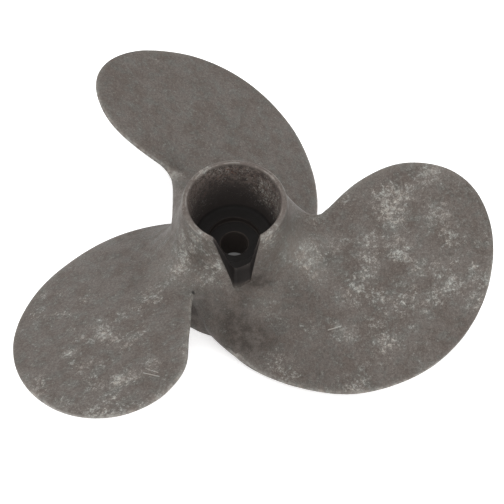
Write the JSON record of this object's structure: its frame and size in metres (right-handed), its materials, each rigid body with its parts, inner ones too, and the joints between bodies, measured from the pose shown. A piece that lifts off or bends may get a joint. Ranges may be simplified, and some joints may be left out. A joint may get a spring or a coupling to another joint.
{
  "type": "boat propeller",
  "caption": "Cast boat propeller with broad, rounded, pitched blades on a flaring hub that has a deep slotted cup at one end and a shaft hole through its floor.",
  "frame": {"origin": "on the shaft axis at the height of the centre of mass, 23 mm above the hub's forward face, which the propeller rests on", "axes": "+Z along the shaft axis, aft, out of the mouth of the hub's cup; the slot in the cup's wall faces -Y; +X to the right of the picture"},
  "size_m": [0.2088, 0.2094, 0.058],
  "materials": {
    "cast_metal": "rough sand casting, dull grey-brown with oxide and pale wear"
  },
  "bodies": {
    "root": {"propeller": "cast_metal"}
  },
  "joints": []
}
